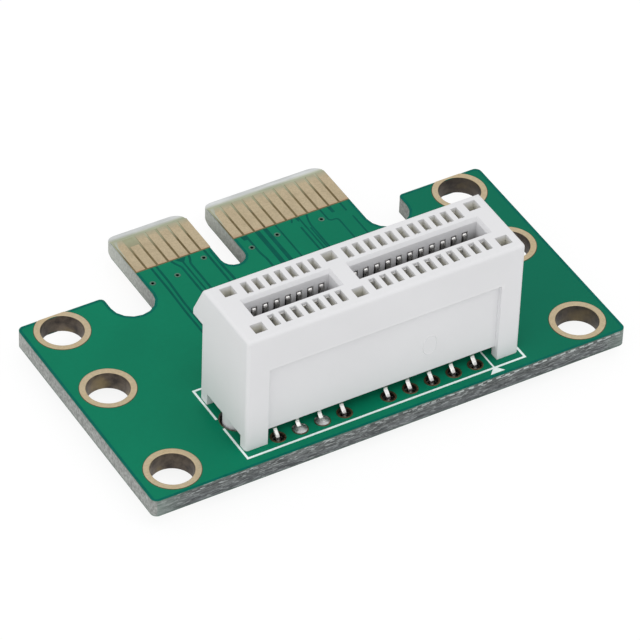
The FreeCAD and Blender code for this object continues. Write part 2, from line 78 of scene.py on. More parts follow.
# Holes: bores, lands, rims and eyes are radii. A height is how far a ring stands above the board,
# with the rounding of its inner edges.
FIXING_BORE = 1.76
FIXING_LAND = 2.29
FIXING_HOLES = {"fixing_hole_%s_%s" % (side, row): (x, y)
                for side, x in (("left", -18.5), ("right", 18.5))
                for row, y in (("front", -9.125), ("middle", 1.4), ("rear", 9.125))}
REAR_MARGIN = 1.95
PIN_BORE = 0.5
PEG_FROM_KEY = 9.3
PEG_RIM = (1.4, 1.47)
VIA_EYE = (0.13, 0.27)
FIXING_HEIGHT, RIM_HEIGHT, EYE_HEIGHT = (0.04, 0.09), (0.012, 0.004), (0.02, 0.03)
VIAS = [(-9.4, 10.8), (-7.15, 10.75), (-4.23, 11.65), (-0.17, 10.92), (2.45, 11.37), (6.62, 11.37)]
SOLDER_POOL = [(0.06, 1.12), (0.1, 1.45), (0.2, 1.3), (0.36, 1.24), (0.5, 1.3), (0.5, 1.12)]
WIDE_TURNS, PEG_TURNS, LAND_TURNS, CONE_TURNS, SMALL_TURNS = 96, 48, 28, 24, 20
SHARP_ANGLE = math.radians(38)

# Places on the board: traces run from the mask's end to a Y that the housing hides
MASK_END = 12.5
HIDDEN = -1.0
FINGER_START = 12.6
TONGUE_LEFTS = (-10.02, -1.0)
MASK_STEP = 0.006
WEAVE_ROW = 1.41
WEAVE_PITCH = 0.86
FINGERS = ("long_fingers_top", "short_fingers_top", "long_fingers_under", "short_fingers_under")

# Near face of the housing: its recess, and the middle, half sizes and profile of the mould mark
RECESS_FACE = SLOT_LINE - 3.25
RECESS_TOP = 9.3
MARK = (4.16, 5.43)
MARK_SPAN = (0.68, 1.02)
MARK_RIDGE = [(0.86, 0.0), (0.9, 0.026), (0.93, 0.036), (0.96, 0.026), (1.0, 0.0),
              (1.0, -0.03), (0.86, -0.03)]

# Print: left, right, front and rear of the outline, the gap in its left line, and pin 1's arrow
PRINT_SIDES = (-12.77, 12.48, -10.85, -2.1)
PRINT_GAP = (-6.98, -5.83)
PRINT_BASE = 0.004
INNER_LINE = [(9.65, -8.7), (9.65, -10.8)]
ARROW = [(8.96, -11.45), (10.27, -11.45), (9.66, -10.72)]

# Stage, in metres and degrees
FLOOR_HALF = 3.0
FLOOR_MATT = 0.8
FLOOR_LIT = 0.14
FLOOR_GLOW = 0.885
LAMP_SIDES = (0.5, 0.35)
FRONT_LAMP = ((0.1, -0.28, 0.52), (29, 0, 20))
SIDE_LAMP = ((-0.5, -0.15, 0.25), (65, 0, -73))
CAMERA_PLACE = (-0.1568, -0.2554312, 0.265766)
CAMERA_TURN = (48.64714, -1.77085, -29.97175)
CAMERA_LENS = 281.25

# Colours of one finish each. A pair is the dark and the light of a mottle.
FINGER_GAP = ((0.15, 0.115, 0.055), (0.24, 0.19, 0.1))
TIP_GAP = ((0.36, 0.37, 0.24), (0.5, 0.51, 0.37))
BEVEL_PALE = ((0.56, 0.58, 0.57), (0.78, 0.8, 0.8))
BEVEL_OLIVE = ((0.36, 0.39, 0.27), (0.5, 0.52, 0.38))
EDGE_UPPER = ((0.04, 0.046, 0.05), (0.17, 0.185, 0.19))
EDGE_LOWER = ((0.03, 0.034, 0.046), (0.12, 0.13, 0.155))
EDGE_CORNER_HIGHLIGHT = ((0.14, 0.2, 0.17), (0.42, 0.5, 0.46))
EDGE_DASH = (0.6, 0.64, 0.64)
EDGE_WEAVE = (0.66, 0.72, 0.7)
EDGE_LIP = (0.12, 0.2, 0.16)
TONGUE_EDGE = ((0.38, 0.39, 0.36), (0.72, 0.75, 0.69))
OPENING_SHADE = (0.03, 0.026, 0.018)
PAINTED_LEDGE_LIGHT = (0.94, 0.94, 0.95)
WORN_TIP = (0.45, 0.46, 0.34)
RED_ROOT = (0.62, 0.36, 0.23)
BARE_SIDE = ((0.36, 0.38, 0.28), (0.56, 0.58, 0.5))
BARREL_BROWN = ((0.045, 0.035, 0.03), (0.2, 0.16, 0.12))
BARREL_OCHRE = (0.33, 0.25, 0.12)
BARREL_SHADE = (0.03, 0.026, 0.024)
BARREL_CUT = ((0.2, 0.21, 0.2), (0.5, 0.52, 0.5))
LAND_ORANGE = (0.62, 0.43, 0.2)
PIN_LAND = ((0.07, 0.038, 0.02), (0.21, 0.14, 0.07))
PIN_BARREL_SHADE = ((0.02, 0.016, 0.013), (0.1, 0.075, 0.055))
MASK_EDGE_SHADOW = ((0.05, 0.035, 0.018), (0.13, 0.09, 0.045))
VIA_RING = ((0.05, 0.15, 0.1), (0.1, 0.22, 0.16))
VIA_HOLE_SHADE = (0.004, 0.006, 0.005)
CONTACT_TIN = (0.78, 0.77, 0.75)
PLAIN_SOLDER = (0.66, 0.65, 0.63)
HOLE_SOLDER_SHADE = (0.16, 0.15, 0.14)
CONE_SOLDER_LIT = (0.95, 0.93, 0.93)
LEFT_FLANK_SHADE = (0.09, 0.075, 0.08)
INK = ((0.93, 1.0, 0.99), (0.74, 0.93, 0.88))


# Sizes and colours that a user would change

def length_setting(name, about, size, precision=5):
    """Setting for a length, given in millimetres and held in metres."""
    return bpy.props.FloatProperty(
        name=name, description=about, default=size * MM, unit="LENGTH", precision=precision)


def colour_setting(name, about, value):
    """Setting for a colour."""
    return bpy.props.FloatVectorProperty(
        name=name, description=about, subtype="COLOR", size=3, default=value)


def light_setting(name, about, value):
    """Setting for a light."""
    return bpy.props.FloatProperty(name=name, description=about, default=value, min=0.0)


class RiserSizes(bpy.types.PropertyGroup):
    strip_thick: length_setting("Strip thickness", "Thickness of the contact strip", 0.2)
    strip_wide: length_setting("Strip width", "Width of the contact strip", 0.36)
    land_wide: length_setting("Pin land", "Radius of the copper land round a pin hole", 0.67)
    copper_proud: length_setting("Copper height", "How far lands stand above the board", 0.03, 6)
    print_line: length_setting("Printed line", "Width of the pale printed outline", 0.19)
    print_thick: length_setting("Print thickness", "Thickness of the pale print", 0.014, 6)
    rim_wide: length_setting("Copper set-back", "Width of the dark band at the board's edges", 0.23)


class RiserColours(bpy.types.PropertyGroup):
    mask: colour_setting(
        "Mask over copper", "Green where copper lies under the mask", (0.0035, 0.208, 0.111))
    mask_bare: colour_setting(
        "Mask over laminate", "Darker green where no copper lies under it", (0.0, 0.105, 0.076))
    housing: colour_setting("Housing", "Pale plastic of the slot", (0.84, 0.84, 0.855))
    gold: colour_setting("Gold plate", "Dull gold of the fingers and lands", (0.6, 0.495, 0.33))
    laminate: colour_setting("Cut laminate", "Glass fibre at the routed edges", (0.27, 0.28, 0.27))


class RiserStage(bpy.types.PropertyGroup):
    floor_level: length_setting("Floor", "Height of the floor under the tails", -1.12)
    sky_level: light_setting("Sky", "Strength of the even white light", 1.0)
    key_level: light_setting("Front lamp", "Power of the lamp in front and above, in watts", 0.4)
    side_level: light_setting("Side lamp", "Power of the left lamp in watts", 0.42)


# Meshes from arrays

def add_mesh(name, vertices, faces, finish, slot_name, smooth=True):
    """Object whose mesh is given by points in millimetres and faces as one array per corner count.
    It rides on the root and takes the finish it is given. Its slot name is not used."""
    mesh = bpy.data.meshes.new(name)
    sets = [np.asarray(group) for group in faces if len(group)]
    loops = np.concatenate([group.ravel() for group in sets]).astype(np.int32)
    sizes = np.concatenate([np.full(len(group), group.shape[1]) for group in sets])
    starts = np.concatenate([[0], np.cumsum(sizes)[:-1]]).astype(np.int32)
    points = np.asarray(vertices, dtype=np.float64).reshape(-1, 3) * MM
    mesh.vertices.add(len(points))
    mesh.vertices.foreach_set("co", points.astype(np.float32).ravel())
    mesh.loops.add(len(loops))
    mesh.loops.foreach_set("vertex_index", loops)
    mesh.polygons.add(len(sizes))
    mesh.polygons.foreach_set("loop_start", starts)
    mesh.polygons.foreach_set("use_smooth", np.full(len(sizes), smooth))
    mesh.update(calc_edges=True)
    mesh.validate()
    if smooth:
        mesh.set_sharp_from_angle(angle=SHARP_ANGLE)
    piece = bpy.data.objects.new(name, mesh)
    bpy.context.scene.collection.objects.link(piece)
    mesh.materials.append(finish)
    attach(piece, "root")
    return piece


def grid_faces(rows, columns, wrap_rows=False, wrap_columns=True):
    """Quads over a grid of points numbered row by row, joined round where it wraps."""
    i = np.arange(rows if wrap_rows else rows - 1)[:, None]
    j = np.arange(columns if wrap_columns else columns - 1)[None, :]
    below, beside = (i + 1) % rows, (j + 1) % columns
    corners = [i * columns + j, i * columns + beside, below * columns + beside, below * columns + j]
    return np.stack(np.broadcast_arrays(*corners), -1).reshape(-1, 4)


def join(parts):
    """Several (points, faces) pairs as one, the later faces counted on from the earlier points."""
    points, quads, caps, count = [], [], [], 0
    for vertices, faces in parts:
        vertices = np.asarray(vertices).reshape(-1, 3)
        points.append(vertices)
        quads.append(faces[0] + count)
        caps += [cap + count for cap in faces[1:]]
        count += len(vertices)
    groups = {}
    for cap in caps:
        groups.setdefault(cap.shape[1], []).append(cap)
    caps = [np.concatenate(group) for group in groups.values()]
    return np.concatenate(points), [np.concatenate(quads)] + caps


def lathe(profile, middle, turns=64, reach=None):
    """Ring turned about an upright axis: point (r, z) of a closed profile at angle a goes to
    (middle + r cos a, middle + r sin a, z). With reach, r is held to reach / sin a where that is
    less, which cuts the ring along a straight line on its +Y side."""
    profile = np.asarray(profile, float)
    angle = np.linspace(0, 2 * np.pi, turns, endpoint=False)[:, None]
    radius = np.broadcast_to(profile[:, 0], (turns, len(profile)))
    if reach is not None:
        limit = reach / np.maximum(np.sin(angle), 1e-6)
        radius = np.minimum(radius, np.where(np.sin(angle) > 0, limit, 1e9))
    x = middle[0] + radius * np.cos(angle)
    y = middle[1] + radius * np.sin(angle)
    z = np.broadcast_to(profile[:, 1], (turns, len(profile)))
    return np.stack([x, y, z], -1), [grid_faces(turns, len(profile), wrap_rows=True)]


def plug(profile, middle, turns=24):
    """Solid turned about an upright axis from an open profile (r, z) that starts at the base and
    ends at the tip, closed by a flat cap at each end. Caps face down at the base and up at the tip,
    or the other way where the profile runs downwards."""
    profile = np.asarray(profile, float)
    angle = np.linspace(0, 2 * np.pi, turns, endpoint=False)[:, None]
    x = middle[0] + profile[:, 0] * np.cos(angle)
    y = middle[1] + profile[:, 0] * np.sin(angle)
    z = np.broadcast_to(profile[:, 1], x.shape)
    rows = len(profile)
    quads = grid_faces(turns, rows, wrap_rows=True, wrap_columns=False)
    ring = np.arange(turns) * rows
    base, tip = ring[::-1][None, :], (ring + rows - 1)[None, :]
    if profile[-1, 1] < profile[0, 1]:
        quads, base, tip = quads[:, ::-1], base[:, ::-1], tip[:, ::-1]
    return np.stack([x, y, z], -1), [quads[:, ::-1], base, tip]


def carry(path, across, up, section):
    """Closed section (a, b) carried along a path: each point is path + a across + b up. The two
    ends are capped."""
    path, section = np.asarray(path, float), np.asarray(section, float)
    if section.ndim == 2:
        section = np.broadcast_to(section, (len(path),) + section.shape)
    sideways, upwards = section[..., :1] * across[:, None, :], section[..., 1:] * up[:, None, :]
    points = path[:, None, :] + sideways + upwards
    count = section.shape[1]
    quads = grid_faces(len(path), count)
    first = np.arange(count)[None, :]
    last = first[:, ::-1] + (len(path) - 1) * count
    return points, [quads[:, ::-1], first, last]


def soften(corners, reach, steps=6):
    """Points of a polyline whose inner corners are rounded: about corner B the line leaves A, at
    reach before it, and meets C, at reach after it, along (1-t)^2 A + 2t(1-t) B + t^2 C."""
    corners = np.asarray(corners, float)
    runs = np.diff(corners, axis=0)
    lengths = np.linalg.norm(runs, axis=1)
    units = runs / lengths[:, None]
    reach = np.broadcast_to(np.asarray(reach, float), len(corners) - 2)
    t = np.linspace(0, 1, steps)[:, None]
    line = [corners[:1]]
    for turn, distance in enumerate(reach):
        bend = corners[turn + 1]
        cut = min(distance, 0.49 * lengths[turn], 0.49 * lengths[turn + 1])
        before, after = bend - units[turn] * cut, bend + units[turn + 1] * cut
        line.append((1 - t) ** 2 * before + 2 * t * (1 - t) * bend + t ** 2 * after)
    line.append(corners[-1:])
    line = np.concatenate(line)
    apart = np.linalg.norm(np.diff(line, axis=0), axis=1) > 0.01
    return line[np.concatenate([[True], apart])]


def ribbon(points, width, low, thick, closed=False):
    """Flat strip along a line in the board's plane, with mitred corners: each point is moved half
    the width along the mean of its neighbours' normals, lengthened by 1 / cos of half the turn."""
    points = np.asarray(points, float)
    ahead = np.roll(points, -1, axis=0) - points
    ahead /= np.maximum(np.linalg.norm(ahead, axis=1), 1e-9)[:, None]
    behind = np.roll(ahead, 1, axis=0)
    if not closed:
        ahead[-1], behind[0] = behind[-1], ahead[0]
    normal_a = np.stack([-ahead[:, 1], ahead[:, 0]], -1)
    normal_b = np.stack([-behind[:, 1], behind[:, 0]], -1)
    mitre = normal_a + normal_b
    mitre /= np.sum(mitre * normal_a, axis=1)[:, None]
    ring = np.array([(-0.5, 0), (0.5, 0), (0.5, 1), (-0.5, 1)])
    x = points[:, None, 0] + mitre[:, None, 0] * ring[:, 0] * width
    y = points[:, None, 1] + mitre[:, None, 1] * ring[:, 0] * width
    z = np.broadcast_to(low + ring[:, 1] * thick, x.shape)
    vertices = np.stack([x, y, z], -1)
    quads = grid_faces(len(points), 4, wrap_rows=closed)
    if closed:
        return vertices, [quads]
    first = np.array([[3, 2, 1, 0]])
    last = first[:, ::-1] + 4 * (len(points) - 1)
    return vertices, [quads, first, last]


def trace(line, inset, steps=9):
    """Points of an outline of points and arcs, each moved left of its direction by an inset."""
    points = []
    for part in line:
        if len(part) == 2:
            points.append([part])
        else:
            x, y, radius, start, end = part
            angle = np.radians(np.linspace(start, end, steps))
            points.append(np.column_stack([x + radius * np.cos(angle), y + radius * np.sin(angle)]))
    points = np.concatenate(points)
    ahead = np.diff(points, axis=0)
    ahead /= np.linalg.norm(ahead, axis=1)[:, None]
    ahead = np.concatenate([ahead[:1], ahead, ahead[-1:]])
    tangent = ahead[:-1] + ahead[1:]
    tangent /= np.linalg.norm(tangent, axis=1)[:, None]
    return points + np.column_stack([-tangent[:, 1], tangent[:, 0]]) * inset


def plate(outline, low, thick):
    """Flat plate between two copies of an outline in the board's plane, drawn anticlockwise."""
    outline = np.asarray(outline, float)
    count = len(outline)
    low_ring = np.column_stack([outline, np.full(count, low)])
    high_ring = np.column_stack([outline, np.full(count, low + thick)])
    quads = grid_faces(2, count)
    rings = np.arange(count)
    return np.stack([low_ring, high_ring]), [quads, rings[::-1][None, :], rings[None, :] + count]


# Places of the pins

def pin_x(pin):
    """A pin's X: pins 1 to 11 stand right of the key, 12 to 18 left of it, 1 mm apart."""
    if pin <= PINS_RIGHT_OF_KEY:
        return KEY_MIDDLE + KEY_TO_PIN + PINS_RIGHT_OF_KEY - pin
    return KEY_MIDDLE - KEY_TO_PIN - (pin - PINS_RIGHT_OF_KEY - 1)


def tail_row(side, pin):
    """Distance of a tail from the slot line: on side a the even pins are outermost."""
    return OUTER_ROW if (pin % 2 == 0) == (side == "a") else INNER_ROW


def pin_places():
    """Side, pin and place of every pin hole."""
    places = []
    for side, sign in (("a", -1), ("b", 1)):
        for pin in range(1, PINS + 1):
            places.append((side, pin, (pin_x(pin), SLOT_LINE + sign * tail_row(side, pin))))
    return places


def has_cone(side, pin):
    """Whether solder rose round a tail on top of the board."""
    return side == "a" and pin in CONE_PINS


# Finishes

class Finish:
    """A node material under way. Its methods add one node each and return that node's output."""

    def __init__(self, name):
        self.material = bpy.data.materials.new(name)
        self.material.use_nodes = True
        self.tree = self.material.node_tree
        self.tree.nodes.clear()
        out = self.tree.nodes.new("ShaderNodeOutputMaterial")
        self.shader = self.tree.nodes.new("ShaderNodeBsdfPrincipled")
        self.tree.links.new(self.shader.outputs[0], out.inputs["Surface"])
        self.place = self.tree.nodes.new("ShaderNodeTexCoord").outputs["Object"]

    def put(self, socket, value):
        if isinstance(value, bpy.types.NodeSocket):
            self.tree.links.new(value, socket)
        elif isinstance(value, (tuple, list)) and len(value) == 3 and socket.type == "RGBA":
            socket.default_value = (*value, 1.0)
        else:
            socket.default_value = value

    def set(self, **values):
        names = {"colour": "Base Color", "rough": "Roughness", "metal": "Metallic",
                 "normal": "Normal", "gloss": "Specular IOR Level"}
        for name, value in values.items():
            self.put(self.shader.inputs[names[name]], value)
        return self.material

    def math(self, operation, first, second=0.0):
        node = self.tree.nodes.new("ShaderNodeMath")
        node.operation = operation
        self.put(node.inputs[0], first)
        self.put(node.inputs[1], second)
        return node.outputs[0]

    def axes(self, vector=None):
        node = self.tree.nodes.new("ShaderNodeSeparateXYZ")
        self.put(node.inputs[0], vector or self.place)
        return node.outputs

    def facing(self):
        node = self.tree.nodes.new("ShaderNodeNewGeometry")
        return self.axes(node.outputs["Normal"])

    def level(self):
        """How flat a face lies: 1 where it faces up or down, 0 where it is upright."""
        return self.math("ABSOLUTE", self.facing()[2])

    def stretched(self, x, y, z):
        node = self.tree.nodes.new("ShaderNodeMapping")
        self.put(node.inputs["Vector"], self.place)
        node.inputs["Scale"].default_value = (x, y, z)
        return node.outputs[0]

    def noise(self, scale, detail=3.0, rough=0.5, vector=None):
        node = self.tree.nodes.new("ShaderNodeTexNoise")
        self.put(node.inputs["Vector"], vector or self.place)
        node.inputs["Scale"].default_value = scale
        node.inputs["Detail"].default_value = detail
        node.inputs["Roughness"].default_value = rough
        return node.outputs["Fac"]

    def ramp(self, value, low, high, out_low=0.0, out_high=1.0):
        node = self.tree.nodes.new("ShaderNodeMapRange")
        node.clamp = True
        self.put(node.inputs["Value"], value)
        ends = {"From Min": low, "From Max": high, "To Min": out_low, "To Max": out_high}
        for name, number in ends.items():
            self.put(node.inputs[name], number)
        return node.outputs[0]

    def fade(self, value, low, high, out_low=0.0, out_high=1.0):
        """Ramp whose start and end are in millimetres."""
        return self.ramp(value, low * MM, high * MM, out_low, out_high)

    def away(self, value, place):
        """Distance of a coordinate from a place in millimetres."""
        return self.math("ABSOLUTE", self.math("SUBTRACT", value, place * MM))

    def under(self, value, limit):
        return self.math("LESS_THAN", value, limit * MM)

    def over(self, value, limit):
        return self.math("GREATER_THAN", value, limit * MM)

    def product(self, first, *others):
        for other in others:
            first = self.math("MULTIPLY", first, other)
        return first

    def blend(self, share, first, second):
        node = self.tree.nodes.new("ShaderNodeMix")
        node.data_type = "RGBA"
        self.put(node.inputs[0], share)
        self.put(node.inputs[6], first)
        self.put(node.inputs[7], second)
        return node.outputs[2]

    def mottle(self, value, dark, light, low=0.3, high=0.7):
        """Dark where a value is low, light where it is high, and between the two in between."""
        return self.blend(self.ramp(value, low, high), dark, light)

    def bump(self, height, depth, share=1.0, normal=None):
        node = self.tree.nodes.new("ShaderNodeBump")
        node.inputs["Strength"].default_value = share
        node.inputs["Distance"].default_value = depth * MM
        self.put(node.inputs["Height"], height)
        if normal is not None:
            self.put(node.inputs["Normal"], normal)
        return node.outputs[0]

    def worn_edges(self, radius):
        node = self.tree.nodes.new("ShaderNodeBevel")
        node.samples = 6
        node.inputs["Radius"].default_value = radius * MM
        return node.outputs[0]


def shade(colour, level):
    """A colour made lighter or darker by a factor."""
    return tuple(min(1.0, part * level) for part in colour)


def mask_colour(f, mask, x, fine):
    """Green with faint clouds and specks, and a painted shadow towards the board's right end."""
    green = f.mottle(f.noise(180.0, 4.0), shade(mask, 0.95), shade(mask, 1.05))
    green = f.blend(f.ramp(fine, 0.35, 0.75, 0.0, 0.3), green, shade(mask, 0.88))
    # Painted shadow of the housing: the green darkens towards the board's right end.
    housing_shadow_green = (mask[0], mask[1] * 0.76, mask[2] * 0.84)
    return f.blend(f.fade(x, 0.0, 16.0, 0.0, 0.8), green, housing_shadow_green)


def bare_colour(f, y):
    """Laminate without mask: brown between the fingers, olive past their tips."""
    between = f.mottle(f.noise(900.0, 4.0), *FINGER_GAP)
    beyond = f.mottle(f.noise(700.0, 4.0), *TIP_GAP)
    return f.blend(f.fade(y, 14.6, 16.3), between, beyond)


def bevel_colour(f, y):
    """Bevels of the tongues: pale weave, olive where they start."""
    weave = f.noise(1100.0, 4.0, 0.6, f.stretched(0.3, 1.0, 1.0))
    pale = f.mottle(weave, *BEVEL_PALE, low=0.32)
    olive = f.mottle(weave, *BEVEL_OLIVE, low=0.32)
    return f.blend(f.fade(y, 16.95, 17.45, 1.0, 0.0), pale, olive)


def long_edge_colour(f, x, z):
    """Cut edge in front: dark resin with streaks and pale dashes of fibre, a row of weave near the
    top and a painted highlight at both ends, where the edge turns round the board's corners."""
    streaks = f.noise(1900.0, 5.0, 0.62, f.stretched(0.42, 0.42, 3.2))
    dashes = f.noise(2900.0, 3.0, 0.55, f.stretched(0.6, 0.6, 3.6))
    upper = f.mottle(streaks, *EDGE_UPPER, low=0.4, high=0.62)
    lower = f.mottle(streaks, *EDGE_LOWER, low=0.4, high=0.62)
    colour = f.blend(f.fade(z, 0.5, 0.9, 0.45, 0.0), upper, lower)
    bright = f.fade(z, 0.7, 1.5, 0.35, 1.0)
    colour = f.blend(f.product(f.ramp(dashes, 0.55, 0.62), bright), colour, EDGE_DASH)
    along = f.math("ADD", f.math("DIVIDE", x, WEAVE_PITCH * MM), f.product(f.noise(400.0), 0.5))
    thread = f.math("LESS_THAN", f.math("FRACT", along), 0.52)
    row = f.fade(f.away(z, WEAVE_ROW), 0.05, 0.1, 1.0, 0.0)
    colour = f.blend(f.product(row, thread, f.fade(x, -6.0, 6.0, 0.1, 0.85)), colour, EDGE_WEAVE)
    # Painted highlight at both ends of the front edge, where it turns round the board's corners.
    ends = f.math("MAXIMUM", f.fade(x, -21.3, -18.5, 0.6, 0.0), f.fade(x, 19.2, 21.3, 0.0, 0.6))
    return f.blend(ends, colour, f.blend(streaks, *EDGE_CORNER_HIGHLIGHT))


def board_finish(colours):
    """Solder mask on the faces, bare laminate past its end, cut glass fibre on the edges."""
    f = Finish("board_mask_and_laminate")
    cut = tuple(colours.laminate)
    x, y, z = f.axes()
    flat = f.math("GREATER_THAN", f.level(), 0.98)
    upright = f.math("LESS_THAN", f.level(), 0.3)
    fine = f.noise(2600.0, 3.0)
    past = f.fade(y, MASK_END, MASK_END + 0.06)
    face = f.blend(past, mask_colour(f, tuple(colours.mask), x, fine), bare_colour(f, y))
    face = f.blend(flat, bevel_colour(f, y), face)
    specks = f.noise(3600.0, 4.0, 0.65)
    light = f.mottle(specks, shade(cut, 0.85), shade(cut, 1.75), low=0.36, high=0.66)
    left = f.math("LESS_THAN", f.facing()[0], -0.4)
    edge = f.blend(left, long_edge_colour(f, x, z), light)
    edge = f.blend(f.fade(y, 8.0, 17.2, 0.1, 0.95), edge, f.blend(specks, *TONGUE_EDGE))
    lips = f.fade(f.away(z, BOARD_TOP / 2), 0.6, 0.8, 0.0, 0.6)
    colour = f.blend(upright, face, f.blend(lips, edge, EDGE_LIP))
    rough = f.math("MAXIMUM", f.ramp(past, 0.0, 1.0, 0.36, 0.5), f.product(upright, 0.75))
    height = f.math("ADD", f.product(upright, specks), f.product(fine, 0.08))
    return f.set(colour=colour, rough=rough, gloss=0.05, normal=f.bump(height, 0.04, 0.7))


def dark_mask_finish(name, dark):
    """Solder mask where the copper below it is etched away."""
    f = Finish(name)
    cloud = f.noise(1200.0, 4.0)
    colour = f.mottle(cloud, shade(dark, 0.9), shade(dark, 1.12))
    return f.set(colour=colour, rough=0.38, gloss=0.05, normal=f.bump(cloud, 0.004))


def housing_finish(colours):
    """Pale moulded plastic with a fine spark texture and softened edges. Painted shade darkens its
    cavities and its slot with depth, warmer in the cavities; painted light runs along the recess's
    top edge."""
    f = Finish("moulded_plastic")
    base = tuple(colours.housing)
    x, y, z = f.axes()
    fine = f.noise(5200.0, 3.0, 0.6)
    colour = f.mottle(f.noise(120.0, 3.0), shade(base, 0.975), shade(base, 1.02))
    off, along = f.away(y, SLOT_LINE), f.math("ABSOLUTE", x)
    room = f.product(f.under(off, 2.95), f.under(along, 12.0), f.over(z, 3.0))
    inside = f.product(room, f.fade(z, 12.2, 12.8, 1.0, 0.0))
    in_slot = f.under(off, 1.5)
    in_cavity = f.math("SUBTRACT", 1.0, in_slot)
    # Painted shade: the cavities and the slot darken with depth, and the cavities' sides take a
    # warmer shaded tint.
    cavity_shade = f.product(f.fade(z, 10.4, 12.4, 0.62, 0.0), in_cavity)
    cavity_shade = f.math("MAXIMUM", cavity_shade, f.product(f.fade(z, 10.5, 11.5, 0.97, 0.0), in_cavity))
    slot = f.product(f.fade(z, 10.3, 11.8, 0.75, 0.0), in_slot)
    warm_cavity_shade = (base[0] * 0.98, base[1] * 0.96, base[2] * 0.84)
    colour = f.blend(f.product(inside, in_cavity), colour, warm_cavity_shade)
    colour = f.blend(f.product(room, f.math("ADD", cavity_shade, slot)), colour, OPENING_SHADE)
    # Painted light along the recess's top edge, lifting the shade under its overhang.
    ledge_painted_light = f.fade(f.away(z, RECESS_TOP - 0.06), 0.05, 0.35, 0.4, 0.0)
    ledge_painted_light = f.product(ledge_painted_light, f.over(off, 3.2), f.under(along, 10.6))
    colour = f.blend(ledge_painted_light, colour, PAINTED_LEDGE_LIGHT)
    rough = f.ramp(fine, 0.3, 0.7, 0.42, 0.58)
    normal = f.bump(fine, 0.02, 0.2, f.worn_edges(0.05))
    return f.set(colour=colour, rough=rough, gloss=0.35, normal=normal)


def gold_finish(colours):
    """Dull gold plate: grainy and faintly stained, reddish at the roots, paler at the tips, and
    worn to bare laminate along the left edge of each tongue."""
    f = Finish("finger_gold_plate")
    base = tuple(colours.gold)
    x, y = f.axes()[:2]
    grain = f.noise(6500.0, 3.0, 0.6)
    cloud = f.noise(900.0, 4.0)
    colour = f.mottle(grain, shade(base, 0.9), shade(base, 1.1))
    colour = f.blend(f.ramp(cloud, 0.45, 0.8, 0.0, 0.25), colour, shade(base, 0.6))
    tip = f.math("ADD", y, f.product(f.noise(1500.0), 0.2 * MM))
    colour = f.blend(f.fade(tip, 16.1, 16.75, 0.0, 0.8), colour, WORN_TIP)
    root = f.math("ADD", y, f.product(f.noise(1800.0), 0.5 * MM))
    colour = f.blend(f.fade(root, 12.85, 13.15, 0.45, 0.0), colour, RED_ROOT)
    bare = f.fade(y, FINGER_START, 16.2, 0.02 * MM, 0.24 * MM)
    bare = f.math("ADD", bare, f.fade(y, 15.9, 16.9, 0.0, 0.3 * MM))
    ragged = f.product(f.math("SUBTRACT", f.noise(2200.0), 0.5), 0.12 * MM)
    bare = f.math("ADD", bare, ragged)
    side = 0.0
    for left in TONGUE_LEFTS:
        inward = f.math("SUBTRACT", x, left * MM)
        near = f.product(f.math("LESS_THAN", inward, bare), f.over(inward, -0.5))
        side = f.math("MAXIMUM", side, near)
    colour = f.blend(side, colour, f.blend(cloud, *BARE_SIDE))
    rough = f.ramp(cloud, 0.3, 0.7, 0.42, 0.56)
    metal = f.product(0.85, f.math("SUBTRACT", 1.0, side))
    normal = f.bump(grain, 0.006, 0.7)
    return f.set(colour=colour, rough=rough, metal=metal, gloss=0.4, normal=normal)


def barrel_finish(colours):
    """Plated fixing hole: dull gold on the lands, brown and streaked down the barrel, and bare
    laminate where the board's rear edge cuts the ring flat."""
    f = Finish("plated_hole")
    base = tuple(colours.gold)
    x, y = f.axes()[:2]
    land = f.ramp(f.level(), 0.45, 0.8)
    grain = f.noise(5200.0, 3.0, 0.6)
    cloud = f.noise(650.0, 5.0, 0.6)
    gold = f.mottle(grain, shade(base, 0.95), shade(base, 1.15))
    gold = f.blend(f.ramp(f.noise(420.0, 3.0), 0.4, 0.7, 0.0, 0.3), gold, LAND_ORANGE)
    brown = f.mottle(cloud, *BARREL_BROWN, low=0.35, high=0.65)
    brown = f.blend(f.ramp(f.noise(380.0, 3.0), 0.52, 0.7, 0.0, 0.75), brown, BARREL_OCHRE)
    brown = f.blend(f.fade(x, 5.0, 19.0, 0.0, 0.5), brown, BARREL_SHADE)
    colour = f.blend(land, brown, gold)
    rearward = f.math("GREATER_THAN", f.facing()[1], 0.9)
    cut = f.product(rearward, f.over(y, 11.0), f.math("LESS_THAN", f.level(), 0.3))
    colour = f.blend(cut, colour, f.blend(grain, *BARREL_CUT))
    rough = f.ramp(land, 0.0, 1.0, 0.5, 0.46)
    metal = f.product(f.ramp(land, 0.0, 1.0, 0.5, 0.85), f.math("SUBTRACT", 1.0, cut))
    normal = f.bump(cloud, 0.02, 0.6)
    return f.set(colour=colour, rough=rough, metal=metal, gloss=0.4, normal=normal)


def pin_land_finish():
    """Land and barrel of a pin hole: reddish copper brown, with painted shade making the barrel
    darker inside.
    """
    f = Finish("pin_hole_copper")
    cloud = f.noise(2400.0, 4.0, 0.6)
    shaded_barrel, land = f.mottle(cloud, *PIN_BARREL_SHADE), f.mottle(cloud, *PIN_LAND)
    # Painted shade: the upright barrel takes a darker copy of the land's copper.
    colour = f.blend(f.ramp(f.level(), 0.4, 0.8), shaded_barrel, land)
    return f.set(colour=colour, rough=0.42, metal=0.7, normal=f.bump(cloud, 0.01, 0.6))


def edge_shadow_finish():
    """Thin brown edge of the mask round a hole: a painted shadow along the mask's edge."""
    f = Finish("painted_edge_shadow")
    return f.set(colour=f.blend(f.noise(2600.0), *MASK_EDGE_SHADOW), rough=0.5, gloss=0.2)


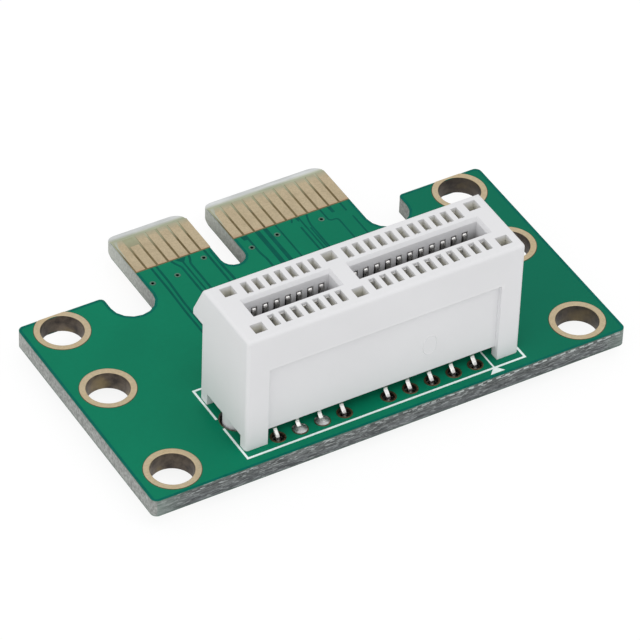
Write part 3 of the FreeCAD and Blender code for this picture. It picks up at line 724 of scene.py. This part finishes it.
def via_finish():
    """Mask over a small through hole: greyish green, with painted shade almost black in the hole.
    """
    f = Finish("via_mask")
    grain = f.noise(3000.0)
    # Painted shade: the upright faces in the hole are almost black.
    colour = f.blend(f.ramp(f.level(), 0.4, 0.8), VIA_HOLE_SHADE, f.mottle(grain, *VIA_RING))
    return f.set(colour=colour, rough=0.4, gloss=0.3, normal=f.bump(grain, 0.004))


def tin_finish(name, base, rough, stain, left_shade=0.0):
    """Tin or solder: bright grey metal with a soft mottle, and painted shade on its left flanks."""
    f = Finish(name)
    cloud = f.noise(2200.0, 4.0, 0.55)
    colour = f.blend(f.ramp(cloud, 0.35, 0.7, 0.0, stain), base, shade(base, 0.55))
    # Painted shade on the left flanks: darker the more a face turns to the left.
    if left_shade:
        colour = f.blend(f.ramp(f.facing()[0], -0.75, 0.05, left_shade, 0.0), colour, LEFT_FLANK_SHADE)
    roughness = f.ramp(cloud, 0.3, 0.7, rough - 0.06, rough + 0.08)
    return f.set(colour=colour, rough=roughness, metal=0.95, normal=f.bump(cloud, 0.01, 0.5))


def print_finish():
    """Pale print: thin white ink, slightly uneven so that the green shows through."""
    f = Finish("pale_print")
    grain = f.noise(4200.0, 4.0, 0.6)
    colour = f.mottle(grain, *INK, low=0.4, high=0.75)
    return f.set(colour=colour, rough=0.6, gloss=0.2, normal=f.bump(grain, 0.004, 0.6))


# Pieces

def contact_line(row):
    """Side view of a contact's middle line: tail, knee, beam, bulge, neck, shoulder and tip, with
    rounded bends."""
    corners = [(row, TAIL_END), (row, TAIL_TOP), (BEAM_OUT, KNEES[row]), (BEAM_OUT, BEAM_FOOT)]
    return soften(corners + [BULGE, NECK, SHOULDER, TIP], BENDS)


def contact_mesh(side, pin, thick, wide):
    """Strip carried along the contact's middle line. Its section is a rectangle with cut corners,
    which narrows to a point over the last of the tail and at the tip."""
    line = contact_line(tail_row(side, pin))
    turn = 1.0 if side == "b" else -1.0
    across_slot, height = SLOT_LINE + turn * line[:, 0], BOARD_TOP + line[:, 1]
    path = np.column_stack([np.full(len(line), pin_x(pin)), across_slot, height])
    tangent = np.gradient(line, axis=0)
    tangent /= np.linalg.norm(tangent, axis=1)[:, None]
    across = np.tile([1.0, 0.0, 0.0], (len(line), 1))
    out = np.column_stack([np.zeros(len(line)), turn * tangent[:, 1], -tangent[:, 0]])
    w, t, cut = wide / 2, thick / 2, STRIP_CUT
    ring = [(-w, -t + cut), (-w + cut, -t), (w - cut, -t), (w, -t + cut)]
    ring += [(w, t - cut), (w - cut, t), (-w + cut, t), (-w, t - cut)]
    run = np.concatenate([[0], np.cumsum(np.linalg.norm(np.diff(line, axis=0), axis=1))])
    start = np.interp(run, [0.0, 0.5, 1.2], [0.45, 0.9, 1.0])
    end = np.interp(run[-1] - run, [0.0, 0.25, 0.6], [0.7, 0.95, 1.0])
    section = np.asarray(ring)[None] * (start * end)[:, None, None]
    points, faces = carry(path, across, out, section)
    if side == "b":
        faces = [group[:, ::-1] for group in faces]
    return points, faces


def ring_profile(inner, outer, proud, round_off):
    """Closed profile of a ring through the board that stands proud of both faces. Its inner edges
    are rounded by round_off and its outer ones by outer_round, each along a quarter circle."""
    outer_round = 0.03
    angle = np.linspace(0, 0.5 * math.pi, 4)
    sine_gap, cosine_gap, top = 1 - np.sin(angle), 1 - np.cos(angle), BOARD_TOP + proud
    inner_top = np.column_stack([inner + round_off * cosine_gap, top - round_off * sine_gap])
    outer_top = np.column_stack([outer - outer_round * sine_gap, top - outer_round * cosine_gap])
    upper = np.concatenate([inner_top, outer_top])
    lower = np.column_stack([upper[::-1, 0], BOARD_TOP - upper[::-1, 1]])
    return np.concatenate([upper, lower])


def rear_reach(node, set_back=0.0):
    """How far a rear fixing hole's ring may go before the board's edge cuts it. Others go on."""
    return REAR_MARGIN - set_back if node.endswith("rear") else None


def mask_rims():
    """Thin rings of mask round the lands of the fixing holes and round the two peg holes, which
    carry a painted shadow along the mask's edge.
    """
    rim = ring_profile(FIXING_BORE + 0.06, FIXING_LAND + 0.05, *RIM_HEIGHT)
    rims = [lathe(rim, middle, WIDE_TURNS, rear_reach(node, 0.03))
            for node, middle in FIXING_HOLES.items()]
    peg_rim = ring_profile(*PEG_RIM, *RIM_HEIGHT)
    pegs = (KEY_MIDDLE, KEY_MIDDLE - PEG_FROM_KEY)
    return rims + [lathe(peg_rim, (across, SLOT_LINE), PEG_TURNS) for across in pegs]


def fillet(place):
    """Solder under the board: at share t of its height of 0.75 it has the radius
    0.2 + 0.44 (1 - t)^1.7."""
    t = np.linspace(0, 1, 9)
    flank = np.column_stack([0.2 + 0.44 * (1 - t) ** 1.7, -0.02 - 0.75 * t])
    return plug(flank, place, SMALL_TURNS)


def leaning_cone(place):
    """Solder on top of the board: at share t of its height of 0.5 it has the radius
    0.05 + 0.58 (1 - t)^2.4, and it leans to the slot by 1.7 times the height above the board."""
    t = np.linspace(0, 1, 9)
    rise = np.column_stack([0.05 + 0.58 * (1 - t) ** 2.4, BOARD_TOP + 0.02 + 0.5 * t])
    points, faces = plug(rise, place, CONE_TURNS)
    points[..., 1] += 1.7 * np.clip(points[..., 2] - BOARD_TOP, 0, None)
    return points, faces


class RISER_OT_contacts(bpy.types.Operator):
    """Bend each contact from rounded strip, in place of its plain node"""
    bl_idname = "riser.contacts"
    bl_label = "Spring contacts"

    def execute(self, context):
        sizes = context.scene.riser_sizes
        thick, wide = sizes.strip_thick / MM, sizes.strip_wide / MM
        finish = tin_finish("contact_tin", CONTACT_TIN, 0.26, 0.25)
        for side, pin, _ in pin_places():
            name = "contact_%s%02d" % (side, pin)
            strip = contact_mesh(side, pin, thick, wide)
            piece = add_mesh("spring_" + name, *strip, finish, "contact_metal")
            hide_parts(name)
        return {"FINISHED"}


class RISER_OT_fixing_holes(bpy.types.Operator):
    """Turn the six plated fixing holes, with soft land edges"""
    bl_idname = "riser.fixing_holes"
    bl_label = "Plated fixing holes"

    def execute(self, context):
        finish = barrel_finish(context.scene.riser_colours)
        profile = ring_profile(FIXING_BORE, FIXING_LAND, *FIXING_HEIGHT)
        for node, middle in FIXING_HOLES.items():
            ring = lathe(profile, middle, WIDE_TURNS, rear_reach(node))
            piece = add_mesh(node.replace("hole", "ring"), *ring, finish, "hole_plating")
            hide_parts(node)
        return {"FINISHED"}


class RISER_OT_pin_holes(bpy.types.Operator):
    """Turn the lands of the pin holes and their solder, the mask's rims and the small vias"""
    bl_idname = "riser.pin_holes"
    bl_label = "Pin holes and vias"

    def execute(self, context):
        sizes = context.scene.riser_sizes
        land = ring_profile(PIN_BORE, sizes.land_wide / MM, sizes.copper_proud / MM, 0.05)
        rings = [lathe(land, place, LAND_TURNS) for side, pin, place in pin_places()]
        add_mesh("pin_hole_lands", *join(rings), pin_land_finish(), "hole_plating")
        pools = [lathe(SOLDER_POOL, place, SMALL_TURNS) for side, pin, place in pin_places()
                 if not has_cone(side, pin)]
        # Dull solder, darkened further as painted shade deep in the holes.
        dull = tin_finish("hole_solder_shade", HOLE_SOLDER_SHADE, 0.3, 0.7)
        add_mesh("solder_in_holes", *join(pools), dull, "solder")
        # Painted shadow along the mask's edge round the fixing and peg holes.
        add_mesh("edge_shadow_rings", *join(mask_rims()), edge_shadow_finish(), "laminate")
        eye = ring_profile(*VIA_EYE, *EYE_HEIGHT)
        eyes = [lathe(eye, place, SMALL_TURNS) for place in VIAS]
        add_mesh("via_eyes", *join(eyes), via_finish(), "laminate")
        return {"FINISHED"}


class RISER_OT_solder(bpy.types.Operator):
    """Turn the solder under the board and the two cones that rose at the front tails"""
    bl_idname = "riser.solder"
    bl_label = "Solder"

    def execute(self, context):
        fillets = [fillet(place) for side, pin, place in pin_places()]
        plain_tin = tin_finish("solder_metal", PLAIN_SOLDER, 0.28, 0.5)
        under = add_mesh("solder_under_board", *join(fillets), plain_tin, "solder")
        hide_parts("solder_fillets")
        cones = [leaning_cone(place) for side, pin, place in pin_places() if has_cone(side, pin)]
        # Painted light: the cones get a paler grey than the same solder under the board.
        bright = tin_finish("solder_cone_painted_light", CONE_SOLDER_LIT, 0.26, 0.4, 0.8)
        raised = add_mesh("solder_front_cones", *join(cones), bright, "solder")
        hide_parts("solder_cones")
        return {"FINISHED"}


# Board outline, anticlockwise, up to the mask's end on both tongues: each entry is a point, or the
# middle, radius and two angles of an arc
BOARD_LINE = [
    (TONGUE_LEFTS[0], MASK_END), (-11.92, 9.725, 1.9, 0, -180), (-14.22, 10.675, 0.4, 0, 90),
    (-21.05, 10.525, 0.55, 90, 180), (-21.05, -11.275, 0.55, 180, 270),
    (20.9, -11.275, 0.55, 270, 360), (20.9, 10.525, 0.55, 0, 90),
    (14.14, 10.675, 0.4, 90, 180), (11.84, 9.725, 1.9, 0, -180), (9.94, MASK_END),
]
KEY_LINE = [(TONGUE_LEFTS[1], MASK_END), (-2.07, 10.745, 1.07, 0, -180), (-3.14, MASK_END)]

# Strips without copper between the traces: width, then the points of its middle line
BARE_STRIPS = [
    (0.2, [(-8.62, MASK_END), (-8.62, 9.5), (-8.72, 6.5), (-8.7, HIDDEN)]),
    (0.2, [(-8.15, MASK_END), (-8.15, 10.5), (-8.3, 7.6), (-8.35, HIDDEN)]),
    (0.2, [(-6.78, MASK_END), (-6.62, 12.0), (-6.36, 11.5), (-6.36, HIDDEN)]),
    (0.16, [(-5.96, 12.0), (-5.96, HIDDEN)]),
    (0.2, [(-5.16, MASK_END), (-5.26, 12.1), (-5.5, 11.6), (-5.5, HIDDEN)]),
    (0.2, [(-3.76, MASK_END), (-3.76, HIDDEN)]),
    (0.24, [(-3.3, 12.1), (-3.34, 10.0), (-3.28, 8.9), (-3.28, HIDDEN)]),
    (0.2, [(0.12, MASK_END), (0.12, 10.0), (0.25, 9.2), (0.25, HIDDEN)]),
    (0.42, [(1.2, MASK_END), (1.2, HIDDEN)]),
    (0.36, [(1.93, MASK_END), (1.93, HIDDEN)]),
    (0.15, [(2.92, MASK_END), (2.92, HIDDEN)]),
    (0.16, [(4.45, MASK_END), (4.25, 12.1)]),
    (0.17, [(4.65, 11.3), (4.65, HIDDEN)]),
    (0.14, [(5.05, MASK_END), (5.05, HIDDEN)]),
    (0.12, [(5.33, 10.9), (5.33, HIDDEN)]),
    (0.16, [(5.85, MASK_END), (5.62, 11.8), (5.52, 11.2), (5.48, HIDDEN)]),
    (0.15, [(7.12, MASK_END), (7.12, 11.1), (7.3, 10.9), (7.75, 10.9), (7.9, 10.7), (7.9, HIDDEN)]),
    (0.17, [(9.02, MASK_END), (9.02, 11.4)]),
    (0.15, [(9.15, 10.6), (9.15, HIDDEN)]),
]
BARE_PATCHES = [
    [(-6.45, 12.48), (-5.95, 11.85), (-5.45, 12.48)],
    [(4.72, 12.48), (4.85, 11.9), (5.05, 12.48)],
    [(-0.38, 12.48), (-0.28, 11.95), (0.02, 11.95), (0.02, 12.48)],
    [(7.78, 12.48), (7.82, 11.7), (8.1, 11.7), (8.12, 12.48)],
]


class RISER_OT_copper_gaps(bpy.types.Operator):
    """Lay the darker mask where the board has no copper: along its edges and between traces"""
    bl_idname = "riser.copper_gaps"
    bl_label = "Gaps in the copper"

    def execute(self, context):
        wide = context.scene.riser_sizes.rim_wide / MM
        dark = tuple(context.scene.riser_colours.mask_bare)
        rim = dark_mask_finish("mask_at_edges", shade(dark, 1.3))
        for name, low in (("mask_rim_top", BOARD_TOP), ("mask_rim_under", -MASK_STEP)):
            parts = [ribbon(trace(line, wide / 2 + 0.01), wide, low, MASK_STEP)
                     for line in (BOARD_LINE, KEY_LINE)]
            add_mesh(name, *join(parts), rim, "laminate", smooth=False)
        parts = []
        for width, line in BARE_STRIPS:
            line = soften(line, 0.2, 4) if len(line) > 2 else line
            parts.append(ribbon(line, width, BOARD_TOP, 0.7 * MASK_STEP))
        parts += [plate(patch[::-1], BOARD_TOP, 0.5 * MASK_STEP) for patch in BARE_PATCHES]
        bare = dark_mask_finish("mask_without_copper", dark)
        add_mesh("copper_gaps", *join(parts), bare, "laminate", smooth=False)
        return {"FINISHED"}


class RISER_OT_print(bpy.types.Operator):
    """Print the pale outline round the slot, its inner line and the arrow at pin 1"""
    bl_idname = "riser.print"
    bl_label = "Pale print"

    def execute(self, context):
        sizes = context.scene.riser_sizes
        wide, thick = sizes.print_line / MM, sizes.print_thick / MM
        low = BOARD_TOP + PRINT_BASE
        left, right, front, rear = PRINT_SIDES
        outline = [(left, PRINT_GAP[1]), (left, rear), (right, rear),
                   (right, front), (left, front), (left, PRINT_GAP[0])]
        parts = [ribbon(outline, wide, low, thick)]
        parts.append(ribbon(INNER_LINE, wide * 0.8, low, 0.8 * thick))
        parts.append(plate(ARROW, low, 1.2 * thick))
        add_mesh("slot_print", *join(parts), print_finish(), "laminate", smooth=False)
        return {"FINISHED"}


class RISER_OT_finishes(bpy.types.Operator):
    """Give the board, the housing and the edge fingers their finishes"""
    bl_idname = "riser.finishes"
    bl_label = "Board, housing and fingers"

    def execute(self, context):
        colours = context.scene.riser_colours
        finishes = dict.fromkeys(FINGERS, gold_finish(colours))
        finishes["circuit_board"] = board_finish(colours)
        finishes["connector_housing"] = housing_finish(colours)
        for name, finish in finishes.items():
            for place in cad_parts[name].material_slots:
                place.material = finish
        return {"FINISHED"}


class RISER_OT_mould_mark(bpy.types.Operator):
    """Raise the faint oval ridge that the mould left on the near face: a ring turned about an axis,
    stretched to the mark's two half sizes and stood upright on the recess"""
    bl_idname = "riser.mould_mark"
    bl_label = "Mould mark"

    def execute(self, context):
        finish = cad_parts["connector_housing"].material_slots[0].material
        ring, faces = lathe(MARK_RIDGE, (0.0, 0.0))
        x = MARK[0] + MARK_SPAN[0] * ring[..., 0]
        z = MARK[1] + MARK_SPAN[1] * ring[..., 1]
        points = np.stack([x, RECESS_FACE - ring[..., 2], z], -1)
        add_mesh("mould_mark", points, faces, finish, "housing_plastic")
        return {"FINISHED"}


class RISER_OT_stage(bpy.types.Operator):
    """Set the pale floor, the even light and the camera of the product view"""
    bl_idname = "riser.stage"
    bl_label = "Floor, light and camera"

    def execute(self, context):
        settings = context.scene.riser_stage
        self.floor(settings.floor_level)
        self.sky(settings.sky_level)
        self.lamp("front_softbox", settings.key_level, *FRONT_LAMP)
        self.lamp("side_softbox", settings.side_level, *SIDE_LAMP)
        self.camera()
        context.scene.view_settings.view_transform = "Standard"
        return {"FINISHED"}

    @staticmethod
    def shader(tree, kind, value):
        """Output of a new shader with one strength, or one grey as its colour."""
        node = tree.nodes.new(kind)
        if "Strength" in node.inputs:
            node.inputs["Strength"].default_value = value
        else:
            node.inputs["Color"].default_value = (value, value, value, 1)
        return node.outputs[0]

    @staticmethod
    def end(tree, kind, lighting, seen):
        """End of a tree: one shader where a ray comes from the camera, a mirror or glass, and
        another for light on the object."""
        path = tree.nodes.new("ShaderNodeLightPath")
        share = path.outputs["Is Camera Ray"]
        for name in ("Is Glossy Ray", "Is Transmission Ray"):
            add = tree.nodes.new("ShaderNodeMath")
            add.operation = "MAXIMUM"
            tree.links.new(share, add.inputs[0])
            tree.links.new(path.outputs[name], add.inputs[1])
            share = add.outputs[0]
        choose = tree.nodes.new("ShaderNodeMixShader")
        for source, socket in zip((share, lighting, seen), choose.inputs):
            tree.links.new(source, socket)
        tree.links.new(choose.outputs[0], tree.nodes.new(kind).inputs["Surface"])

    def floor(self, level):
        mesh = bpy.data.meshes.new("studio_floor")
        half = FLOOR_HALF
        corners = [(-half, -half), (half, -half), (half, half), (-half, half)]
        mesh.from_pydata([(x, y, level) for x, y in corners], [], [(0, 1, 2, 3)])
        floor = bpy.data.objects.new("studio_floor", mesh)
        bpy.context.scene.collection.objects.link(floor)
        material = bpy.data.materials.new("floor_white")
        material.use_nodes = True
        tree = material.node_tree
        tree.nodes.clear()
        matt = self.shader(tree, "ShaderNodeBsdfDiffuse", FLOOR_MATT)
        both = tree.nodes.new("ShaderNodeAddShader")
        tree.links.new(self.shader(tree, "ShaderNodeBsdfDiffuse", FLOOR_LIT), both.inputs[0])
        tree.links.new(self.shader(tree, "ShaderNodeEmission", FLOOR_GLOW), both.inputs[1])
        self.end(tree, "ShaderNodeOutputMaterial", matt, both.outputs[0])
        mesh.materials.append(material)

    def sky(self, strength):
        world = bpy.data.worlds.new("white_sky")
        bpy.context.scene.world = world
        world.use_nodes = True
        tree = world.node_tree
        tree.nodes.clear()
        light = self.shader(tree, "ShaderNodeBackground", strength)
        backdrop = self.shader(tree, "ShaderNodeBackground", 1.0)
        self.end(tree, "ShaderNodeOutputWorld", light, backdrop)

    def lamp(self, name, power, place, turn):
        lamp = bpy.data.lights.new(name, "AREA")
        lamp.shape = "RECTANGLE"
        lamp.size, lamp.size_y = LAMP_SIDES
        lamp.energy = power
        self.stand(name, lamp, place, turn)

    def camera(self):
        lens = bpy.data.cameras.new("product_camera")
        lens.sensor_width = 36.0
        lens.lens = CAMERA_LENS
        lens.clip_start, lens.clip_end = 0.01, 20.0
        bpy.context.scene.camera = self.stand("product_camera", lens, CAMERA_PLACE, CAMERA_TURN)

    @staticmethod
    def stand(name, data, place, turn):
        """New object for a lamp or camera, at a place and turned by angles in degrees."""
        item = bpy.data.objects.new(name, data)
        item.location = place
        item.rotation_euler = [math.radians(part) for part in turn]
        bpy.context.scene.collection.objects.link(item)
        return item


STEPS = (
    RISER_OT_contacts,
    RISER_OT_fixing_holes,
    RISER_OT_pin_holes,
    RISER_OT_solder,
    RISER_OT_copper_gaps,
    RISER_OT_print,
    RISER_OT_finishes,
    RISER_OT_mould_mark,
    RISER_OT_stage,
)


class RISER_PT_panel(bpy.types.Panel):
    bl_idname = "RISER_PT_panel"
    bl_label = "Riser card"
    bl_space_type = "VIEW_3D"
    bl_region_type = "UI"
    bl_category = "Riser card"

    def draw(self, context):
        for group in ("riser_sizes", "riser_colours", "riser_stage"):
            settings = getattr(context.scene, group)
            box = self.layout.box()
            for name in settings.bl_rna.properties.keys():
                if name not in ("rna_type", "name"):
                    box.prop(settings, name)
        for step in STEPS:
            self.layout.operator(step.bl_idname)


GROUPS = {"riser_sizes": RiserSizes, "riser_colours": RiserColours, "riser_stage": RiserStage}


def register():
    for group in GROUPS.values():
        bpy.utils.register_class(group)
    for name, group in GROUPS.items():
        setattr(bpy.types.Scene, name, bpy.props.PointerProperty(type=group))
    for kind in STEPS + (RISER_PT_panel,):
        bpy.utils.register_class(kind)


def unregister():
    for kind in reversed(STEPS + (RISER_PT_panel,)):
        bpy.utils.unregister_class(kind)
    for name, group in reversed(GROUPS.items()):
        delattr(bpy.types.Scene, name)
        bpy.utils.unregister_class(group)


def main():
    register()
    for step in STEPS:
        family, action = step.bl_idname.split(".")
        getattr(getattr(bpy.ops, family), action)()


if __name__ == "__main__":
    main()
